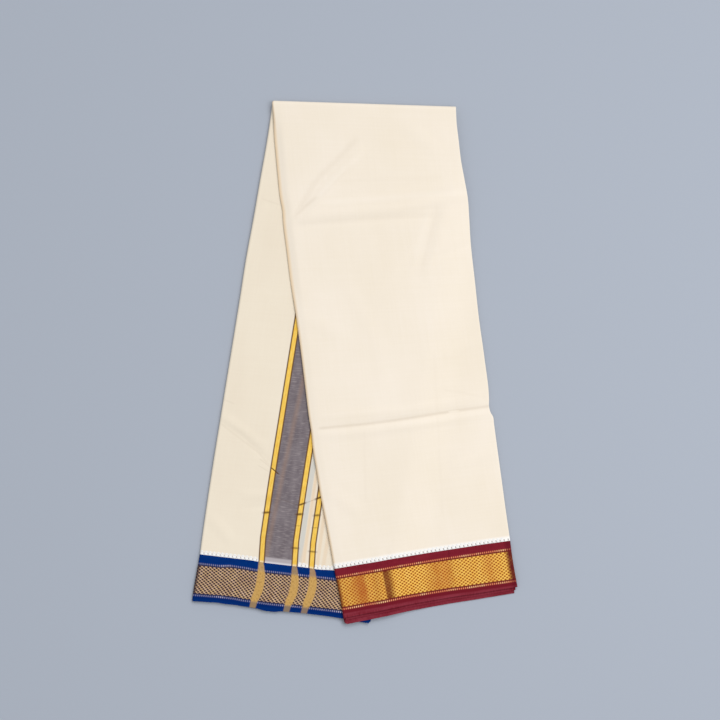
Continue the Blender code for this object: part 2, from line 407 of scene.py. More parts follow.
# Where a corner lies in the row at a distance, seen from above, and how thick the strip is there,
# as a share. Distances are rounded so that each row is worked out once
def flatPlace(half, swayTable, corner, distance):
    left, direction, width = half.row(round(distance, 7))
    across = acrossAt(half, corner, distance, width)
    sway = swayAt(swayTable, (distance - half.length) / mm, across / mm) * mm
    place = left + direction * across + Vector((direction.y, -direction.x, 0.0)) * sway
    flat = smooth((distance - half.length - endFlatten["start"]) / endFlatten["length"])
    return place, direction, across, 1.0 - endFlatten["amount"] * flat


def frontPoint(corner, distance):
    place, direction, across, thickness = flatPlace(frontHalf, frontSway, corner, distance)
    pressed = pressedShare(distance, across)
    place -= direction * pressed * leftSpread["lowest"] * math.sqrt(corner.depth / stripDepth)
    height = (stripDepth - corner.depth) * thickness * (1.0 - leftSpread["thinner"] * pressed)
    relief = frontRelief(place, distance) * (1.0 - corner.depth / stripDepth)
    place.z = supportHeight(place) + height + relief
    return place, across


def backPoint(corner, distance):
    place, direction, across, thickness = flatPlace(backHalf, backSway, corner, distance)
    place.z = corner.depth * thickness + backRelief(place, distance) * corner.depth / stripDepth
    return place, across


def foldPoint(corner, angle):
    left, direction, width = frontHalf.row(0.0)
    across = acrossAt(frontHalf, corner, 0.0, width)
    outward = Vector((-direction.y, direction.x, 0.0))
    radius = foldAxis - corner.depth
    place = left + direction * across + outward * radius * math.sin(angle)
    place.z = foldAxis + radius * math.cos(angle)
    return place, across


def stationPoint(station, corner):
    if station.part == "front":
        return frontPoint(corner, station.value)
    if station.part == "back":
        return backPoint(corner, station.value)
    return foldPoint(corner, station.value)


def evenSteps(start, end, step):
    count = max(round(abs(end - start) / step), 1)
    return [start + (end - start) * i / count for i in range(count + 1)]


# Stations from the maroon seam up the front half, round the top fold and down to the blue seam
def stripStations(frontStep, backStep, foldRadius):
    stations = []
    for distance in evenSteps(frontHalf.length, 0.0, frontStep):
        stations.append(Station("front", distance, frontHalf.length - distance))
    foldStart, foldLength = frontHalf.length, math.pi * foldRadius
    for step in range(1, mesh["foldSteps"]):
        share = step / mesh["foldSteps"]
        stations.append(Station("fold", math.pi * share, foldStart + foldLength * share))
    for distance in evenSteps(0.0, backHalf.length, backStep):
        stations.append(Station("back", distance, foldStart + foldLength + distance))
    return stations


# Steps round a turn from one ply to another: share, angle, depth and the turn's radius
def turnSteps(fromPly, toPly, steps):
    fromDepth, toDepth = depthOf(fromPly), depthOf(toPly)
    centre = (fromDepth + toDepth) / 2
    for step in range(steps + 1):
        angle = math.pi * step / steps
        depth = centre + (fromDepth - centre) * math.cos(angle)
        yield step / steps, angle, depth, abs(fromDepth - toDepth) / 2


# Corners round the left side, from one ply to the ply that it joins there
def leftSide(fromPly, toPly, steps, side=1):
    corners = []
    for share, angle, depth, radius in turnSteps(fromPly, toPly, steps):
        level = levelOf(fromPly) + (levelOf(toPly) - levelOf(fromPly)) * smooth(share)
        turned = min(angle, math.pi - angle)
        corners.append(Corner(0.0, sideRadius - radius * math.sin(angle), depth, level,
                              sideRadius - radius * turned, side))
    return corners


# Corners round the right side; plies that turn together share a centre
def rightSide(fromPly, toPly, outerRadius, steps, side=1):
    return [Corner(1.0, radius * math.sin(angle) - outerRadius, depth, levelOf(fromPly),
                   radius * angle - outerRadius, side)
            for share, angle, depth, radius in turnSteps(fromPly, toPly, steps)]


def acrossPly(ply, columns, side=1):
    return [Corner(i / columns, 0.0, depthOf(ply), levelOf(ply), 0.0, side)
            for i in range(1, columns)]


# The outermost ply: from the middle of the left side, over the top, round the right side
def coverCorners(columns, steps):
    around = leftSide(bottomPly, topPly, 2 * steps, side=-1)
    corners = around[steps:] + acrossPly(topPly, columns, side=-1)
    lowest = strip["upperFrom"]
    groupRadius = (depthOf(lowest) - depthOf(topPly)) / 2
    corners += rightSide(topPly, lowest, groupRadius, steps + 2, side=-1)
    turned = math.pi * groupRadius - groupRadius
    back = strip["coverReturn"]
    corners.append(Corner(1.0, -back, depthOf(lowest), 0.0, turned + back - groupRadius, -1))
    return corners


# The ply with the end band: from the middle of the left side to its free end at the right
def panelCorners(columns, steps):
    around = leftSide(topPly, bottomPly, 2 * steps)
    inset = strip["freeEndInsets"][bottomPly]
    end = Corner(1.0, -inset, depthOf(bottomPly), levelOf(bottomPly), -inset, 1)
    return around[steps:] + acrossPly(bottomPly, columns) + [end]


# The plies between them, in the order in which the cloth runs through the folds
innerOrder = (8, 7, 4, 11, 12, 3, 2, 13, 10, 5, 6, 9, 14, 1)
rightGroups = ((8, 15), (4, 7), (2, 3))  # that turn together at the right: (lowest, highest)


def groupRadiusOf(ply):
    for low, high in rightGroups:
        if low <= ply <= high:
            return (depthOf(low) - depthOf(high)) / 2
    return 0.0


def innerCorners(columns, steps):
    back = strip["coverReturn"] + strip["innerInset"]
    corners = [Corner(1.0, -back, depthOf(innerOrder[0]), 0.0, -back, 1)]
    for i, ply in enumerate(innerOrder):
        across = acrossPly(ply, columns)
        goesLeft = i % 2 == 0
        corners += across[::-1] if goesLeft else across
        if i == len(innerOrder) - 1:
            inset = strip["freeEndInsets"][ply]
            corners.append(Corner(1.0, -inset, depthOf(ply), levelOf(ply), -inset, 1))
        elif goesLeft:
            corners += leftSide(ply, innerOrder[i + 1], steps)
        else:
            corners += rightSide(ply, innerOrder[i + 1], groupRadiusOf(ply), steps)
    return [squeezed(corner)._replace(side=-1) for corner in corners]


# Inner plies lie a little closer together, clear of the outermost ones
def squeezed(corner):
    inset = strip["innerInset"]
    edge = corner.fraction in (0.0, 1.0) and abs(corner.offset) < strip["squeezeReach"]
    share = strip["edgeSqueeze"] if edge else strip["middleSqueeze"]
    depth = sideRadius + (corner.depth - sideRadius) * share
    offset = corner.offset
    if corner.fraction == 0.0:
        offset += inset
    elif corner.fraction == 1.0:
        offset -= inset
    return corner._replace(depth=depth, offset=offset)


# The flat cloth, in metres: one ply's width, and the lengths between the seams and below one
panelWidth = 0.225
# Where the middle of the left side lies with the side laid flat
leftMiddle = sideRadius - (sideRadius - strip["pitch"] / 2) * math.pi / 2


# Cloth coordinates: x is signed from the middle of the left side, positive on the end panel
def clothX(corner, across):
    return corner.side * (across - corner.offset + corner.unrolled - leftMiddle)


# A thin wall of cloth through rows of (place, cloth coordinates)
def sheetObject(name, rows, thickness, material):
    data = bpy.data.meshes.new(name)
    columns = len(rows[0])
    places = [place for row in rows for place, uv in row]
    faces = []
    for i in range(len(rows) - 1):
        for j in range(columns - 1):
            start = i * columns + j
            faces.append((start, start + columns, start + columns + 1, start + 1))
    data.from_pydata(places, [], faces)
    coordinates = [uv for row in rows for place, uv in row]
    clothMap = data.uv_layers.new(name="cloth")
    for loop in data.loops:
        clothMap.data[loop.index].uv = coordinates[loop.vertex_index]
    data.materials.append(material)
    piece = bpy.data.objects.new(name, data)
    bpy.context.scene.collection.objects.link(piece)
    wall = piece.modifiers.new("wall", "SOLIDIFY")
    wall.thickness = thickness
    wall.offset = 0.0
    applyModifiers(piece)
    piece.data.shade_smooth()
    piece.data.set_sharp_from_angle(angle=math.radians(60))
    return piece


def applyModifiers(piece):
    depsgraph = bpy.context.evaluated_depsgraph_get()
    finished = bpy.data.meshes.new_from_object(piece.evaluated_get(depsgraph))
    piece.modifiers.clear()
    piece.data = finished
    finished.name = piece.name


# The ivory cloth between the two seams
def stripSheet(name, corners, stations, thickness, material, fromEnd=False):
    total = stations[-1].along
    rows = []
    for station in stations:
        row = []
        for corner in corners:
            place, across = stationPoint(station, corner)
            along = total - station.along if fromEnd else station.along
            row.append((place, (clothX(corner, across), along)))
        rows.append(row)
    return sheetObject(name, rows, thickness, material)


# A border, from its seam down to where each ply ends
def bandSheet(name, half, corners, rowCount, thickness, material):
    placePoint = frontPoint if half is frontHalf else backPoint
    seamWidth = half.row(round(half.length, 7))[2]
    rows = []
    for i in range(rowCount + 1):
        row = []
        for corner in corners:
            across = acrossAt(half, corner, half.length, seamWidth)
            reach = endReach(half, corner, across, seamWidth) * i / rowCount
            place, across = placePoint(corner, half.length + reach)
            row.append((place, (clothX(corner, across), reach)))
        rows.append(row)
    return sheetObject(name, rows, thickness, material)


# Colours are written as they show, 0 to 255, and taken back to the cloth's own colour
lightLevel = 1.08
cottonSpecular = 0.12


def shown(color):
    linear = [((c / 255 + 0.055) / 1.055) ** 2.4 for c in color]
    return (*(c / lightLevel for c in linear), 1.0)


# A node with its settings and, in the order of its sockets, their values or what feeds them
def addNode(tree, kind, *values, **settings):
    item = tree.nodes.new(kind)
    for name, value in settings.items():
        setattr(item, name, value)
    for socket, value in zip(item.inputs, values):
        connect(value, socket)
    return item


def connect(value, socket):
    if isinstance(value, bpy.types.NodeSocket):
        socket.id_data.links.new(value, socket)
    elif value is not None:
        socket.default_value = value


# The same by the sockets' names
def feed(item, **values):
    for name, value in values.items():
        connect(value, item.inputs[name])
    return item


# Sums of sockets and numbers, in the tree of the first socket
def calc(operation, *values):
    tree = next(value.id_data for value in values if isinstance(value, bpy.types.NodeSocket))
    return addNode(tree, "ShaderNodeMath", *values, operation=operation).outputs[0]


def times(a, b):
    return calc("MULTIPLY", a, b)


def minus(a, b):
    return calc("SUBTRACT", a, b)


def ramp(value, start, end, low=0.0, high=1.0, **settings):
    return addNode(value.id_data, "ShaderNodeMapRange", value, start, end, low, high,
                   **settings).outputs[0]


# Colours are sockets, or three numbers as they show
def blendColor(factor, first, second):
    item = addNode(factor.id_data, "ShaderNodeMix", factor, data_type="RGBA")
    for value, socket in ((first, item.inputs[6]), (second, item.inputs[7])):
        connect(shown(value) if isinstance(value, tuple) else value, socket)
    return item.outputs[2]


# The greater of two masks, or the second if there is no first one yet
def greater(first, second):
    return second if first is None else calc("MAXIMUM", first, second)


# 1 between two values, with soft ends
def zone(value, start, end, soft):
    rising = ramp(value, start - soft, start + soft)
    falling = ramp(value, end - soft, end + soft, 1.0, 0.0)
    return times(rising, falling)


# 1 in the middle of each repeat, 0 between them
def repeats(value, pitch, share, soft):
    place = calc("FRACT", calc("DIVIDE", value, pitch))
    return zone(place, 0.5 - share / 2, 0.5 + share / 2, soft)


# Noise with so many waves to the metre along the strip's width and its length
def noiseAt(clothMap, waves, detail=3.0):
    tree = clothMap.id_data
    mapped = addNode(tree, "ShaderNodeMapping", clothMap, None, None, (*waves, 1.0)).outputs[0]
    texture = addNode(tree, "ShaderNodeTexNoise", noise_dimensions="3D")
    return feed(texture, Vector=mapped, Scale=1.0, Detail=detail).outputs["Fac"]


# A mask from noise: a row holds its waves, the range that is read and the range that it gives
def mottled(clothMap, row, detail=3.0):
    waves, *ranges = row
    return ramp(noiseAt(clothMap, waves, detail), *ranges)


# Fine uneven lines both ways
def crossed(clothMap, waves):
    warp = noiseAt(clothMap, waves)
    return calc("ADD", warp, noiseAt(clothMap, waves[::-1]))


# 1 along a straight line between two places, in the units of x and y, and a little beyond them
def lineMask(x, y, start, end, halfWidth, startReach, endReach):
    (startX, startY), (endX, endY) = start, end
    length = math.hypot(endX - startX, endY - startY)
    unitX, unitY = (endX - startX) / length, (endY - startY) / length
    offsetX = minus(x, startX)
    offsetY = minus(y, startY)
    along = calc("MULTIPLY_ADD", offsetX, unitX, times(offsetY, unitY))
    aside = calc("MULTIPLY_ADD", offsetX, unitY, times(offsetY, -unitX))
    across = ramp(calc("ABSOLUTE", aside), 0.0, halfWidth, 1.0, 0.0,
                  interpolation_type="SMOOTHSTEP")
    within = zone(along, -startReach, length + endReach, halfWidth)
    return times(across, within)


def startMaterial(name, roughness, specular=cottonSpecular):
    material = bpy.data.materials.new(name)
    material.use_nodes = True
    tree = material.node_tree
    shader = tree.nodes["Principled BSDF"]
    shader.inputs["Roughness"].default_value = roughness
    shader.inputs["Specular IOR Level"].default_value = specular
    clothMap = addNode(tree, "ShaderNodeUVMap", uv_map="cloth").outputs[0]
    x, y = addNode(tree, "ShaderNodeSeparateXYZ", clothMap).outputs[:2]
    return material, shader, clothMap, x, y


def setBump(shader, height, strength):
    bump = addNode(shader.id_data, "ShaderNodeBump")
    feed(bump, Strength=strength, Distance=weave["bumpHeight"], Height=height)
    feed(shader, Normal=bump.outputs["Normal"])


# Raised white beads of the ladder along each seam, and the floats above them
ladderStitches = {
    "pitch": 5.1 * mm,
    "start": 2.6 * mm,  # the first bead's distance from the left edge
    "beadSize": (3.7 * mm, 2.6 * mm, 0.5 * mm), "beadRise": 1.0 * mm,
    "floatSize": (3.0 * mm, 2.6 * mm, 0.14 * mm), "floatRise": 4.3 * mm,
    # stretches that have them, as numbers of beads: (first, last)
    "frontRuns": ((0, 41),), "backRuns": ((0, 13), (24, 25), (28, 42)),
    "color": (255, 252, 248), "roughness": 0.7,
}
# Threads and tones of the ground. Waves are to the metre, along the strip's width and its length
weave = {
    "threadWaves": (2600.0, 90.0),
    "bump": 0.25, "bumpHeight": 0.3 * mm,
    "cloudWaves": (11.0, 7.0),
    "streakWaves": (420.0, 9.0), "streakWeight": 0.24,
    "deepTones": (0.44, 1.04),  # where the cream starts to deepen, and where it is deepest
}
ivoryLook = {
    "cream": (244, 233, 219),
    "creamDeep": (237, 225, 206),
    "creaseShade": (168, 146, 120),
    "creaseLight": (252, 243, 232),
    "side": (240, 214, 179),  # painted light and shade: the turned edge warm, as where light comes through it, and a little darker
    "sideWidth": 2.8,  # millimetres
    "ladder": (250, 246, 241),
    # the ticks are painted shade in the ladder's holes
    "tick": (158, 154, 154),
    "panelTick": (182, 179, 181),
    "ladderHeight": 5.8 * mm,
    "ladderFade": 1.8 * mm,
    "tickPlace": (0.5 * mm, 3.1 * mm),  # above the seam
    "tickShare": 0.25, "tickSoft": 0.08,  # of the beads' pitch
    "roughness": 0.85,
    "sheen": 0.12,
}


# Slow changes of tone, with faint streaks both ways
def creamColor(clothMap, cream, deep):
    clouds = noiseAt(clothMap, weave["cloudWaves"], 4.0)
    streaks = crossed(clothMap, weave["streakWaves"])
    tone = calc("MULTIPLY_ADD", streaks, weave["streakWeight"], clouds)
    return blendColor(ramp(tone, *weave["deepTones"]), cream, deep)


# Distance from the strip's left edge in millimetres, on any ply
def fromLeftEdge(x):
    return calc("MULTIPLY_ADD", calc("ABSOLUTE", x), 1 / mm, leftMiddle / mm)


# White ladder above a seam, with grey painted shade for the holes halfway between its beads
def addLadder(color, x, seamDistance, ladderHeight, tick):
    look = ivoryLook
    fade = look["ladderFade"]
    white = ramp(seamDistance, ladderHeight - fade, ladderHeight + fade, 1.0, 0.0)
    color = blendColor(white, color, look["ladder"])
    low, high = look["tickPlace"]
    fromFirst = minus(fromLeftEdge(x), ladderStitches["start"] / mm)
    between = repeats(fromFirst, ladderStitches["pitch"] / mm, look["tickShare"],
                      look["tickSoft"])
    ticks = times(between, zone(seamDistance, low, high, 0.4 * mm))
    return blendColor(ticks, color, tick)


# Height above the nearer seam, in metres
def seamDistanceFrom(y, total):
    return calc("MINIMUM", y, minus(total, y))


def coverMaterial(name, total, creased=False):
    look = ivoryLook
    material, shader, clothMap, x, y = startMaterial(name, look["roughness"])
    color = creamColor(clothMap, look["cream"], look["creamDeep"])
    # Painted light and shade along the left edge: a warm, darker tint
    nearSide = ramp(fromLeftEdge(x), 0.0, look["sideWidth"], 1.0, 0.0)
    color = blendColor(nearSide, color, look["side"])
    if creased:
        # Painted highlights on the lit sides of the front's creases
        color = blendColor(paintedCreaseMask(shader.id_data, frontCreaseHighlights), color, look["creaseLight"])
        # Painted shade along the front's creases
        color = blendColor(paintedCreaseMask(shader.id_data, frontCreaseShade), color, look["creaseShade"])
    seamDistance = seamDistanceFrom(y, total)
    color = addLadder(color, x, seamDistance, look["ladderHeight"], look["tick"])
    connect(color, shader.inputs["Base Color"])
    shader.inputs["Sheen Weight"].default_value = look["sheen"]
    setBump(shader, crossed(clothMap, weave["threadWaves"]), weave["bump"])
    return material


# The end band, in millimetres from the left edge: gold weft stripes beside a grey stripe
band = {
    "goldCentres": (75.7, 117.0, 138.4),
    "goldHalfWidth": 2.5,
    "darkHalfWidth": 4.1,
    "middleLine": (-0.1, 0.5), "middleDepth": 0.18,  # a fine duller line along each gold stripe
    "greyStart": 79.2,
    "greyEnd": 113.6,
    "ladderHeight": 3.8 * mm,
    "greyStop": (6.0, 8.0),  # heights above the seam where the grey gives way to a paler strip
    "seamFade": (0.8, 3.0),  # heights where both stripes still pale towards the seam
    "cream": (239, 228, 209),
    "creamDeep": (232, 219, 199),
    "grey": (125, 116, 120),
    "greyDeep": (109, 100, 105),
    "greyStreak": (160, 150, 150),
    # waves, and the ranges of noise for each: grey deepened, painted shine on the gold, and the
    # grey's streaks
    "greyTone": ((120.0, 40.0), 0.35, 0.65), "goldShine": ((500.0, 120.0), 0.35, 0.7),
    "greyStreaks": ((110.0, 760.0), 0.5, 0.78, 0.0, 0.8),
    "pale": (203, 202, 196),
    "paleStrip": (121.6, 127.4), "paleStrength": 0.85,  # the lower ply shows through it
    "peach": (230, 208, 180),
    "peachFade": (250.0, 300.0),  # heights above the seam
    "peachLines": (
        # place at the seam, its shift for each millimetre above it, half width, strength
        (82.0, 0.056, 2.6, 0.5), (129.8, 0.0, 1.9, 0.9), (125.5, 0.10, 1.3, 0.5),
        (147.0, 0.0, 2.2, 0.75), (154.5, 0.03, 2.4, 0.6),
    ),
    "greyPeach": (150, 125, 112),
    "gold": (254, 214, 105),
    "goldDeep": (246, 194, 72),
    "dark": (100, 70, 48),
    "goldMetal": 0.35, "goldRoughness": 0.42,
    # mark is painted shade along the creases; markDepth is how far the creases sink the bump
    "mark": (88, 56, 22), "markDepth": 1.5,
    # the stripes shift right from this height above the seam down, by this much at the seam
    "shiftFrom": 30.0, "seamShift": 2.1,
    "ladderOverGrey": (176, 168, 171),
    "greyAtSeam": (218, 214, 219), "greyPaling": 0.85,
    "goldAtSeam": (250, 226, 184), "goldPaling": 0.8,
}

# Painted shade along creases, in world millimetres: a line through points, half width, strength
goldCreaseShade = (
    (((-104.0, -131.0), (-94.6, -138.9)), 1.4, 1.0),
    (((-114.0, -187.2), (-104.8, -186.6)), 2.4, 0.85),
    (((-70.0, -178.0), (-60.4, -174.6)), 2.0, 0.95),
    (((-49.2, -170.6), (-38.8, -166.4)), 2.1, 1.0),
    (((-73.6, -189.4), (-64.6, -188.8)), 2.6, 0.9),
    (((-51.0, -190.8), (-42.8, -190.1)), 2.4, 0.75),
    (((-79.0, -230.9), (-69.6, -231.6)), 2.2, 0.65),
    (((-57.2, -235.2), (-47.5, -236.2)), 2.1, 0.65),
    (((-76.0, -203.5), (-67.5, -203.5)), 1.3, 0.35),
    (((-53.4, -206.0), (-45.0, -206.0)), 1.3, 0.35),
)
# Fainter painted crease shade beside them, on the cream and the grey
faintCreaseShade = (
    (((-166.6, -76.3), (-119.8, -112.0), (-103.3, -131.9)), 2.4, 0.06),
    (((-164.5, -45.2), (-149.5, -51.6)), 1.8, 0.05),
    (((-115.5, 204.2), (-84.0, 193.4)), 1.8, 0.04),
    (((-118.0, -120.0), (-103.3, -131.9)), 1.2, 0.09),
    (((-95.2, -138.8), (-88.0, -143.0)), 0.8, 0.25),
    (((-92.0, -170.5), (-70.0, -177.4)), 0.8, 0.25),
    (((-60.4, -174.9), (-48.6, -170.3)), 0.9, 0.3),
    (((-120.0, -128.0), (-104.5, -137.5)), 1.1, 0.07),
)
# The same painted crease shade on the front half, where it is broader and fainter
frontCreaseShade = (
    (((-44.0, -82.0), (10.0, -77.0), (50.0, -72.0), (95.0, -65.0), (131.0, -59.4), (172.0, -53.8)),
     3.2, 0.17),
    (((40.0, -73.2), (95.0, -65.0), (131.0, -59.4)), 2.2, 0.2),
    (((112.0, -34.0), (164.0, -43.0)), 3.0, 0.03),
    (((1.0, 277.0), (-23.0, 251.0), (-40.0, 234.5), (-53.0, 218.5), (-73.0, 182.5)), 6.5, 0.075),
    (((-48.0, 205.0), (-62.0, 194.0), (-74.0, 182.0)), 4.2, 0.105),
    (((-5.0, 244.0), (-39.0, 208.0)), 4.0, 0.03),
    (((-74.0, 171.0), (20.0, 178.0), (106.0, 184.5)), 6.0, 0.03),
    (((-18.0, 225.0), (110.0, 231.0)), 5.0, 0.02),
    (((102.0, 190.0), (84.0, 118.0)), 4.5, 0.035),
    (((12.0, -84.0), (14.0, -172.0)), 3.0, 0.03),
    (((99.0, 12.0), (110.0, -190.0)), 3.5, 0.025),
)
# Painted highlights on the pale sides of the same creases
frontCreaseHighlights = (
    (((-38.0, 199.0), (50.0, 205.0), (142.0, 213.0)), 7.0, 0.16),
    (((-46.0, 204.0), (-22.0, 232.0), (8.0, 258.0)), 7.0, 0.12),
    (((50.0, -78.5), (110.0, -70.0), (168.0, -61.0)), 5.0, 0.1),
    (((92.0, 192.0), (76.0, 128.0)), 7.0, 0.1),
)


def worldPlace(tree):
    coordinates = tree.nodes.new("ShaderNodeTexCoord").outputs["Object"]
    x, y = addNode(tree, "ShaderNodeSeparateXYZ", coordinates).outputs[:2]
    return calc("DIVIDE", x, mm), calc("DIVIDE", y, mm)


# Mask of painted shade and painted highlight along creases, as strong as the strongest at each
# place
def paintedCreaseMask(tree, marks):
    worldX, worldY = worldPlace(tree)
    strongest = None
    for points, halfWidth, strength in marks:
        for start, end in zip(points, points[1:]):
            startReach = 0.0 if start == points[0] else halfWidth
            endReach = 0.0 if end == points[-1] else halfWidth
            mark = lineMask(worldX, worldY, start, end, halfWidth, startReach, endReach)
            strongest = greater(strongest, times(mark, strength))
    return strongest


# Where a slanted peach line runs; place is across the band, above is the height over the seam
def peachLine(place, above, line, soft):
    start, rise, halfWidth = line[:3]
    aside = minus(place, calc("MULTIPLY_ADD", above, rise, start))
    return zone(aside, -halfWidth, halfWidth, soft)


def bandGround(clothMap, place, above):
    color = creamColor(clothMap, band["cream"], band["creamDeep"])
    pale = times(zone(place, *band["paleStrip"], 0.7), band["paleStrength"])
    color = blendColor(pale, color, band["pale"])
    for line in band["peachLines"]:
        strength = ramp(above, *band["peachFade"], line[-1], 0.0)
        peach = times(peachLine(place, above, line, 0.9), strength)
        color = blendColor(peach, color, band["peach"])
    return color


# Grey stripe with fine cross streaks
def greyStripe(clothMap, place, above, atSeam):
    tone = mottled(clothMap, band["greyTone"])
    grey = blendColor(tone, band["grey"], band["greyDeep"])
    streaks = mottled(clothMap, band["greyStreaks"])
    grey = blendColor(streaks, grey, band["greyStreak"])
    line = band["peachLines"][0]
    behind = times(peachLine(place, above, line, 2.0), line[-1])
    grey = blendColor(behind, grey, band["greyPeach"])
    overSeam = ramp(above, *band["greyStop"], 1.0, 0.0)
    grey = blendColor(overSeam, grey, band["ladderOverGrey"])
    return blendColor(times(atSeam, band["greyPaling"]), grey, band["greyAtSeam"])


# Where the gold weft stripes run, and the same with their dark edges
def goldMasks(shifted):
    gold = dark = None
    for centre in band["goldCentres"]:
        aside = minus(shifted, centre)
        core = zone(aside, -band["goldHalfWidth"], band["goldHalfWidth"], 0.45)
        middle = zone(aside, *band["middleLine"], 0.35)
        core = calc("MULTIPLY_ADD", middle, -band["middleDepth"], core)
        gold = greater(gold, core)
        edge = zone(aside, -band["darkHalfWidth"], band["darkHalfWidth"], 0.5)
        dark = greater(dark, edge)
    return gold, dark


def panelMaterial(name, total):
    look = ivoryLook
    material, shader, clothMap, x, y = startMaterial(name, look["roughness"])
    place = calc("MULTIPLY_ADD", x, 1 / mm, leftMiddle / mm)
    seamDistance = seamDistanceFrom(y, total)
    above = calc("DIVIDE", seamDistance, mm)
    atSeam = ramp(above, *band["seamFade"], 1.0, 0.0)
    shift = ramp(above, 0.0, band["shiftFrom"], band["seamShift"], 0.0)
    shifted = minus(place, shift)
    color = bandGround(clothMap, place, above)
    color = addLadder(color, x, seamDistance, band["ladderHeight"], look["panelTick"])
    grey = greyStripe(clothMap, place, above, atSeam)
    inGrey = zone(shifted, band["greyStart"], band["greyEnd"], 0.5)
    color = blendColor(inGrey, color, grey)
    gold, dark = goldMasks(shifted)
    color = blendColor(dark, color, band["dark"])
    # The gold mottled with painted shine
    goldColor = blendColor(mottled(clothMap, band["goldShine"]), band["gold"],
                           band["goldDeep"])
    paling = times(atSeam, band["goldPaling"])
    goldColor = blendColor(paling, goldColor, band["goldAtSeam"])
    color = blendColor(gold, color, goldColor)
    # Painted shade along the creases
    marks = paintedCreaseMask(shader.id_data, goldCreaseShade + faintCreaseShade)
    color = blendColor(marks, color, band["mark"])
    connect(color, shader.inputs["Base Color"])
    shader.inputs["Sheen Weight"].default_value = look["sheen"]
    roughness = ramp(gold, 0.0, 1.0, look["roughness"], band["goldRoughness"])
    feed(shader, Metallic=times(gold, band["goldMetal"]), Roughness=roughness)
    threads = crossed(clothMap, weave["threadWaves"])
    height = calc("MULTIPLY_ADD", marks, -band["markDepth"], threads)
    setBump(shader, height, weave["bump"])
    return material


# What both woven borders share
border = {
    "latticePitch": (5.2 * mm, 4.0 * mm),  # along the border, and across it
    "latticeSoft": 0.16,
    "dotPitch": 2.6, "dotShare": 0.5, "dotSoft": 0.14,  # in millimetres, and of the pitch
    "roughness": 0.75, "specular": 0.02, "bump": 0.3,
    "metal": 0.35, "metalRoughness": 0.45, "metalRise": 1.2,  # of the lattice's threads
    # waves and noise ranges: ground, painted shine and warm tone of threads, painted glints on
    # dots, shade patches
    "wearWaves": (26.0, 160.0), "threadWaves": (900.0, 160.0), "wear": (0.8, 1.25, 0.0, 0.85),
    "shineAndTone": ((150.0, 60.0), 0.35, 0.7, 0.0, 0.4), "warmTone": ((210.0, 330.0), 0.35, 0.65),
    "glint": ((45.0, 5.0), 0.5, 0.65), "patches": ((50.0, 110.0), 0.3, 0.7, 0.75, 1.1),
    # the rest in millimetres below the seam
    "selvageFrom": (50.0, 52.0),
    "deepLine": (50.4, 55.0),  # a deeper strip of the ground under the lower dotted line
    "plyShadow": (0.8, 3.6), "plyShadowDepth": 0.24,  # below where an upper ply ends
}
# Each border's lines in millimetres below its seam: dotted, dark, lattice between them
maroonLook = {
    "dottedLines": ((9.3, 11.2), (48.5, 50.4)), "darkLines": ((11.2, 12.8), (46.9, 48.5)),
    "lattice": (12.8, 46.9),
    "cellShare": 0.66,  # of each cell's side that is dark
    "ground": (126, 34, 47), "groundDeep": (112, 26, 38), "selvage": (136, 52, 65),
    "line": (104, 28, 32), "thread": (252, 212, 112), "threadWarm": (255, 208, 96),
    "threadDeep": (232, 164, 66), "secondDeep": 0.35,  # how deep the second set of threads is
    "cell": (148, 70, 18), "dots": (228, 138, 94), "bright": (255, 208, 152),
    # the last three tones are painted shade
    "dullShade": (174, 86, 38), "deep": (108, 46, 26), "side": (92, 20, 34),
}
blueLook = {
    "dottedLines": ((9.5, 11.5), (49.5, 51.5)), "darkLines": ((11.5, 12.9), (48.1, 49.5)),
    "lattice": (12.9, 48.1),
    "cellShare": 0.75,
    "ground": (0, 48, 116), "groundDeep": (0, 38, 102), "selvage": (0, 46, 112),
    "line": (40, 38, 66), "thread": (250, 214, 186), "threadWarm": (250, 212, 146),
    "threadDeep": (176, 138, 108), "secondDeep": 0.6,
    "cell": (40, 28, 44), "dots": (132, 128, 152), "bright": (192, 184, 198),
    # the last three tones are painted shade
    "dullShade": (60, 44, 52), "deep": (50, 36, 48), "side": (14, 26, 66),
}
# Gold weft stripes over the blue border, in millimetres
weftStripes = {
    "overLattice": (206, 164, 96),
    "overGround": ((190, 158, 108), (156, 133, 106), (168, 138, 106)),  # of each stripe
    "overSelvage": ((152, 126, 93), (136, 117, 97), (138, 116, 98)),
    "shade": (158, 118, 60),
    "latticeFrom": (9.5, 12.5), "selvageFrom": (48.5, 51.5),  # below the seam
    "grainWaves": (620.0, 380.0), "grainShade": (0.45, 0.75, 0.0, 0.75),
    "ragged": 1.2, "soft": 0.6,  # of its sides, in millimetres
    "cover": 0.96,
    # at places below the seam, their half width and how far each one bows to the right
    "halfWidths": ((0, 2.8), (18, 4.7), (42, 5.0), (50, 4.1), (60, 3.8)),
    "bows": (
        ((0, 1.5), (10, 3.4), (21, 5.0), (32, 4.9), (42, 3.0), (52, 0.8), (60, 0.2)),
        ((0, 2.2), (10, 4.2), (21, 6.2), (32, 6.3), (42, 4.2), (52, 2.0), (60, 1.4)),
        ((0, 2.9), (10, 5.4), (21, 7.3), (32, 7.0), (42, 4.9), (52, 2.8), (60, 1.6)),
    ),
}
# Upright bands of painted shade where the lattice dulls, at the folded sides and where the cloth
# creases, in millimetres from the left edge: start, full from and to, end, depth, tone
shadeBands = (
    (-5.0, -2.0, 1.6, 4.8, 0.86, "deep"), (-20.0, 6.0, 50.0, 72.0, 0.22, "dullShade"),
    (14.0, 26.0, 32.5, 36.5, 0.66, "dullShade"), (56.6, 59.0, 63.4, 70.5, 0.92, "deep"),
    (106.0, 124.0, 138.0, 148.0, 0.44, "dullShade"), (180.0, 189.0, 191.0, 201.0, 0.33, "dullShade"),
    (211.0, 217.0, 220.0, 226.0, 1.0, "deep"),
)
# Painted shade along a fine upright tuck that crosses the maroon above the lattice, and along the
# right side, in millimetres from the left edge
sideShade = {
    "tuckPlace": 143.4, "tuckWidths": (0.2, 1.1), "tuckDepth": 0.55,
    "rightFrom": (212.0, 216.5), "rightDepth": 0.6,
}


